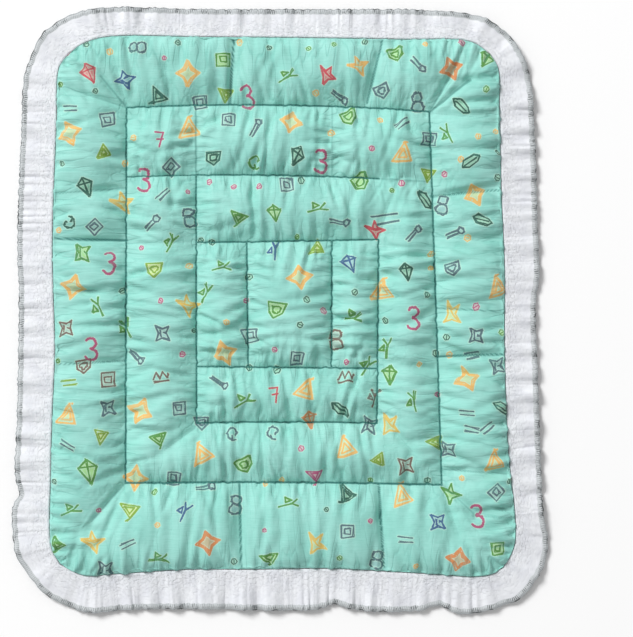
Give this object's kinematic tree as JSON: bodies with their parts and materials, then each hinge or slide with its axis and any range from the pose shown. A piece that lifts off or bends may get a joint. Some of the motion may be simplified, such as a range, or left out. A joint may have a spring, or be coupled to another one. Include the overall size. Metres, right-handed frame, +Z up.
{
  "type": "quilted baby mattress",
  "caption": "Thin filled baby mattress in printed cotton, quilted in rectangles set one inside another, with a gathered white ruffle sewn into its side seam.",
  "frame": {"origin": "on the surface that the mattress lies on, under the middle of its whole outline", "axes": "+X to the right and +Y to the head end, seen from above; +Z up, out of the printed face"},
  "size_m": [0.6398, 0.7254, 0.0269],
  "materials": {
    "printed_cotton": "mint green printed plain-weave cotton, quilted over soft filling",
    "ruffle_cotton": "white plain-weave cotton, gathered, its free edge overlocked in grey and white"
  },
  "bodies": {
    "root": {"quilted_pad": "printed_cotton", "gathered_ruffle": "ruffle_cotton"}
  },
  "joints": []
}
